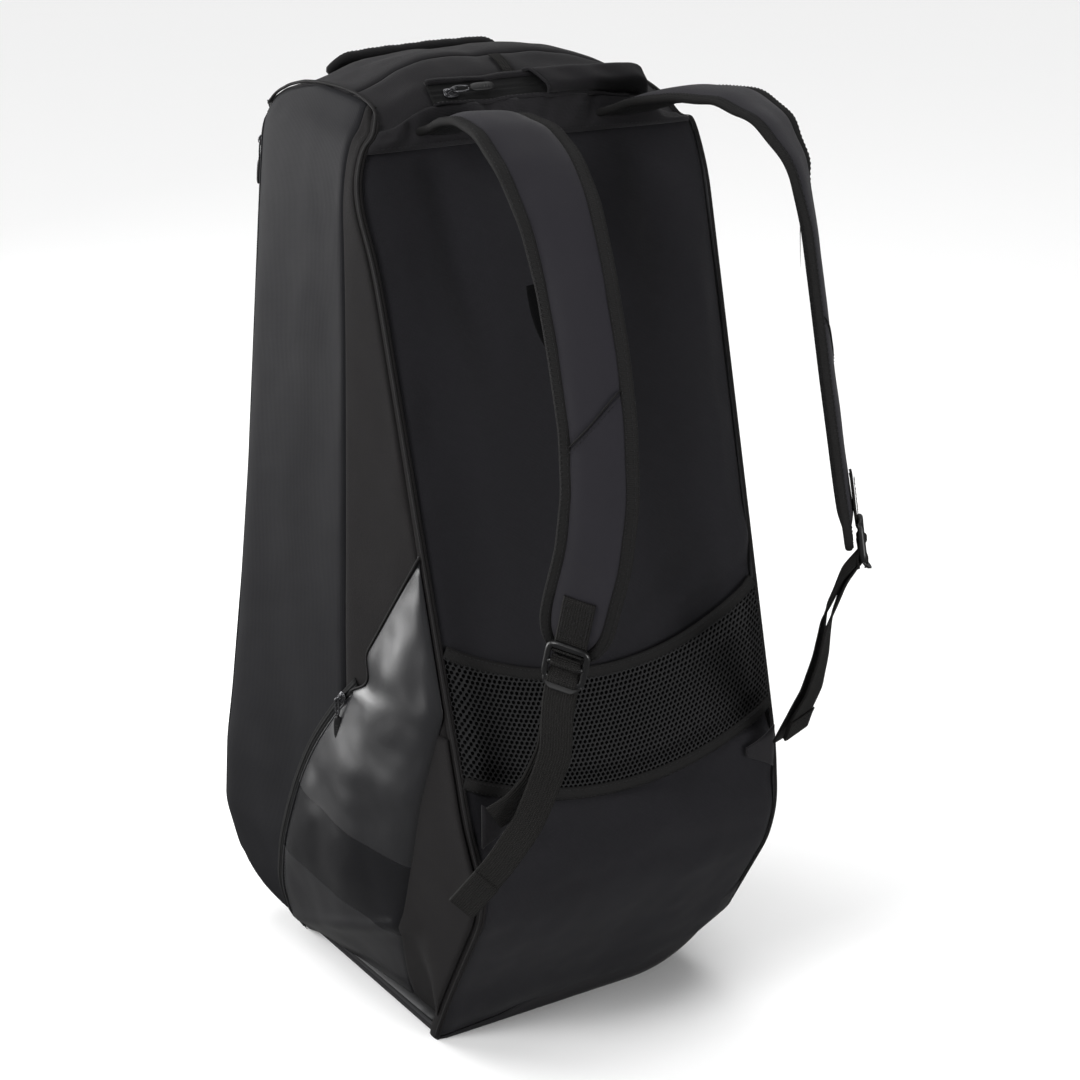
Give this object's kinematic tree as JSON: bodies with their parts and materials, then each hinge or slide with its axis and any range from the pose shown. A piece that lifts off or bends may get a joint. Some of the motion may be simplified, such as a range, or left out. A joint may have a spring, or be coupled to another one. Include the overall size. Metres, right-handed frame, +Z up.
{
  "type": "racket tournament bag",
  "caption": "Tall padded racket bag on its wide end: zipped racket compartments, coated lower side pockets, grab and carry handles, shoulder straps and lumbar mesh.",
  "frame": {"origin": "centre of the base, on the ground", "axes": "+Z up along the bag, -Y out of the back panel towards the wearer, X across the bag"},
  "size_m": [0.38, 0.583, 0.794],
  "materials": {
    "main_fabric": "heavy plain-weave polyester, matt",
    "board_plastic": "plain sheet",
    "webbing": "ribbed nylon webbing",
    "handle_wrap": "padded fabric wrap",
    "lining": "plain lining",
    "piping": "covered piping",
    "zip_tape": "coil zip tape",
    "buckle_plastic": "satin acetal",
    "puller_rubber": "moulded matt rubber",
    "zip_metal": "dark satin metal",
    "coated_fabric": null,
    "strap_fabric": "fine polyester over foam",
    "ripstop": "fine ribbed ripstop, slight sheen",
    "binding": "grosgrain binding",
    "air_mesh": "open spacer mesh",
    "foil_lining": "satin metallised lining"
  },
  "bodies": {
    "bag": {"back_panel": "main_fabric", "back_stiffener": "board_plastic", "base_board": "board_plastic", "base_panel": "main_fabric", "carry_anchor_tabs": "webbing", "centre_divider": "lining", "divider_pouch": "lining", "front_panel": "main_fabric", "grab_anchor_tabs": "webbing", "hang_loop": "webbing", "left_back_piping": "piping", "left_front_zip_tape": "zip_tape", "left_strap_anchor_tab": "webbing", "left_strap_root": "strap_fabric", "lumbar_binding_lower": "binding", "lumbar_binding_upper": "binding", "lumbar_mesh_pad": "air_mesh", "right_back_piping": "piping", "right_front_zip_tape": "zip_tape", "right_strap_anchor_tab": "webbing", "right_strap_root": "strap_fabric", "thermal_liner": "foil_lining", "top_panel": "main_fabric", "top_zip_tape": "zip_tape", "yoke_panel": "main_fabric"},
    "left_side": {"left_side_gusset": "main_fabric", "left_side_panel": "ripstop", "left_side_zip_tape": "zip_tape", "left_pocket_panel": "coated_fabric", "left_pocket_zip_tape": "zip_tape"},
    "left_strap": {"left_shoulder_pad": "strap_fabric", "left_strap_tab": "webbing", "left_ladder_buckle": "buckle_plastic", "left_lower_webbing": "webbing", "left_webbing_tail": "webbing"},
    "left_main_slider_body": {"left_main_slider": "zip_metal"},
    "left_main_puller_body": {"left_main_puller": "puller_rubber"},
    "left_pocket_slider_body": {"left_pocket_slider": "zip_metal"},
    "left_pocket_puller_body": {"left_pocket_puller": "puller_rubber"},
    "right_side": {"right_side_gusset": "main_fabric", "right_side_panel": "ripstop", "right_side_zip_tape": "zip_tape", "right_pocket_panel": "coated_fabric", "right_pocket_zip_tape": "zip_tape"},
    "right_strap": {"right_shoulder_pad": "strap_fabric", "right_strap_tab": "webbing", "right_ladder_buckle": "buckle_plastic", "right_lower_webbing": "webbing", "right_webbing_tail": "webbing"},
    "right_main_slider_body": {"right_main_slider": "zip_metal"},
    "right_main_puller_body": {"right_main_puller": "puller_rubber"},
    "right_pocket_slider_body": {"right_pocket_slider": "zip_metal"},
    "right_pocket_puller_body": {"right_pocket_puller": "puller_rubber"},
    "top_slider_body": {"top_slider": "zip_metal"},
    "top_puller_body": {"top_puller": "puller_rubber"},
    "grab_handle_body": {"grab_handle": "handle_wrap"},
    "carry_handle_body": {"carry_handle": "handle_wrap"}
  },
  "joints": [
    {"name": "left_side_open", "type": "hinge", "parent": "bag", "child": "left_side", "pos_m": [-0.1502, -0.2152, 0.235], "axis": [-0.0168, 0.2641, 0.9643], "range_deg": [0, 25]},
    {"name": "left_strap_swing", "type": "hinge", "parent": "bag", "child": "left_strap", "pos_m": [-0.084, -0.104, 0.759], "axis": [-0.1147, -0.2257, -0.9674], "range_deg": [-12, 40]},
    {"name": "left_main_zip_slide", "type": "slide", "parent": "bag", "child": "left_main_slider_body", "axis": [-0.0722, 0.0344, -0.9968], "range_m": [0, 0.26]},
    {"name": "left_main_puller_lift", "type": "hinge", "parent": "left_main_slider_body", "child": "left_main_puller_body", "pos_m": [-0.14363, 0.1202, 0.71841], "axis": [0.7054, 0.7083, -0.0267], "range_deg": [0, 100]},
    {"name": "left_pocket_zip_slide", "type": "hinge", "parent": "left_side", "child": "left_pocket_slider_body", "pos_m": [-0.12754, -0.4199, -0.07494], "axis": [-0.9941, -0.1083, -0.0092], "range_deg": [0, 16]},
    {"name": "left_pocket_puller_lift", "type": "hinge", "parent": "left_pocket_slider_body", "child": "left_pocket_puller_body", "pos_m": [-0.17655, -0.05065, 0.28795], "axis": [-0.1083, 0.9941, 0], "range_deg": [0, 100]},
    {"name": "right_side_open", "type": "hinge", "parent": "bag", "child": "right_side", "pos_m": [0.1502, -0.2152, 0.235], "axis": [-0.0168, -0.2641, -0.9643], "range_deg": [0, 25]},
    {"name": "right_strap_swing", "type": "hinge", "parent": "bag", "child": "right_strap", "pos_m": [0.084, -0.104, 0.759], "axis": [-0.1147, 0.2257, 0.9674], "range_deg": [-12, 40]},
    {"name": "right_main_zip_slide", "type": "slide", "parent": "bag", "child": "right_main_slider_body", "axis": [0.0722, 0.0344, -0.9968], "range_m": [0, 0.26]},
    {"name": "right_main_puller_lift", "type": "hinge", "parent": "right_main_slider_body", "child": "right_main_puller_body", "pos_m": [0.14363, 0.1202, 0.71841], "axis": [0.7054, -0.7083, 0.0267], "range_deg": [0, 100]},
    {"name": "right_pocket_zip_slide", "type": "hinge", "parent": "right_side", "child": "right_pocket_slider_body", "pos_m": [0.12754, -0.4199, -0.07494], "axis": [-0.9941, 0.1083, 0.0092], "range_deg": [0, 16]},
    {"name": "right_pocket_puller_lift", "type": "hinge", "parent": "right_pocket_slider_body", "child": "right_pocket_puller_body", "pos_m": [0.17655, -0.05065, 0.28795], "axis": [-0.1083, -0.9941, 0], "range_deg": [0, 100]},
    {"name": "top_zip_slide", "type": "slide", "parent": "bag", "child": "top_slider_body", "axis": [1, 0, 0], "range_m": [0, 0.13]},
    {"name": "top_puller_lift", "type": "hinge", "parent": "top_slider_body", "child": "top_puller_body", "pos_m": [-0.072, -0.07248, 0.77962], "axis": [0, -0.6823, -0.7311], "range_deg": [0, 120]},
    {"name": "grab_handle_swing", "type": "hinge", "parent": "bag", "child": "grab_handle_body", "pos_m": [0, 0.112, 0.769], "axis": [1, 0, 0], "range_deg": [-60, 50]},
    {"name": "carry_handle_swing", "type": "hinge", "parent": "bag", "child": "carry_handle_body", "pos_m": [0, 0.152, 0.43], "axis": [0, 0, 1], "range_deg": [-75, 75]}
  ]
}
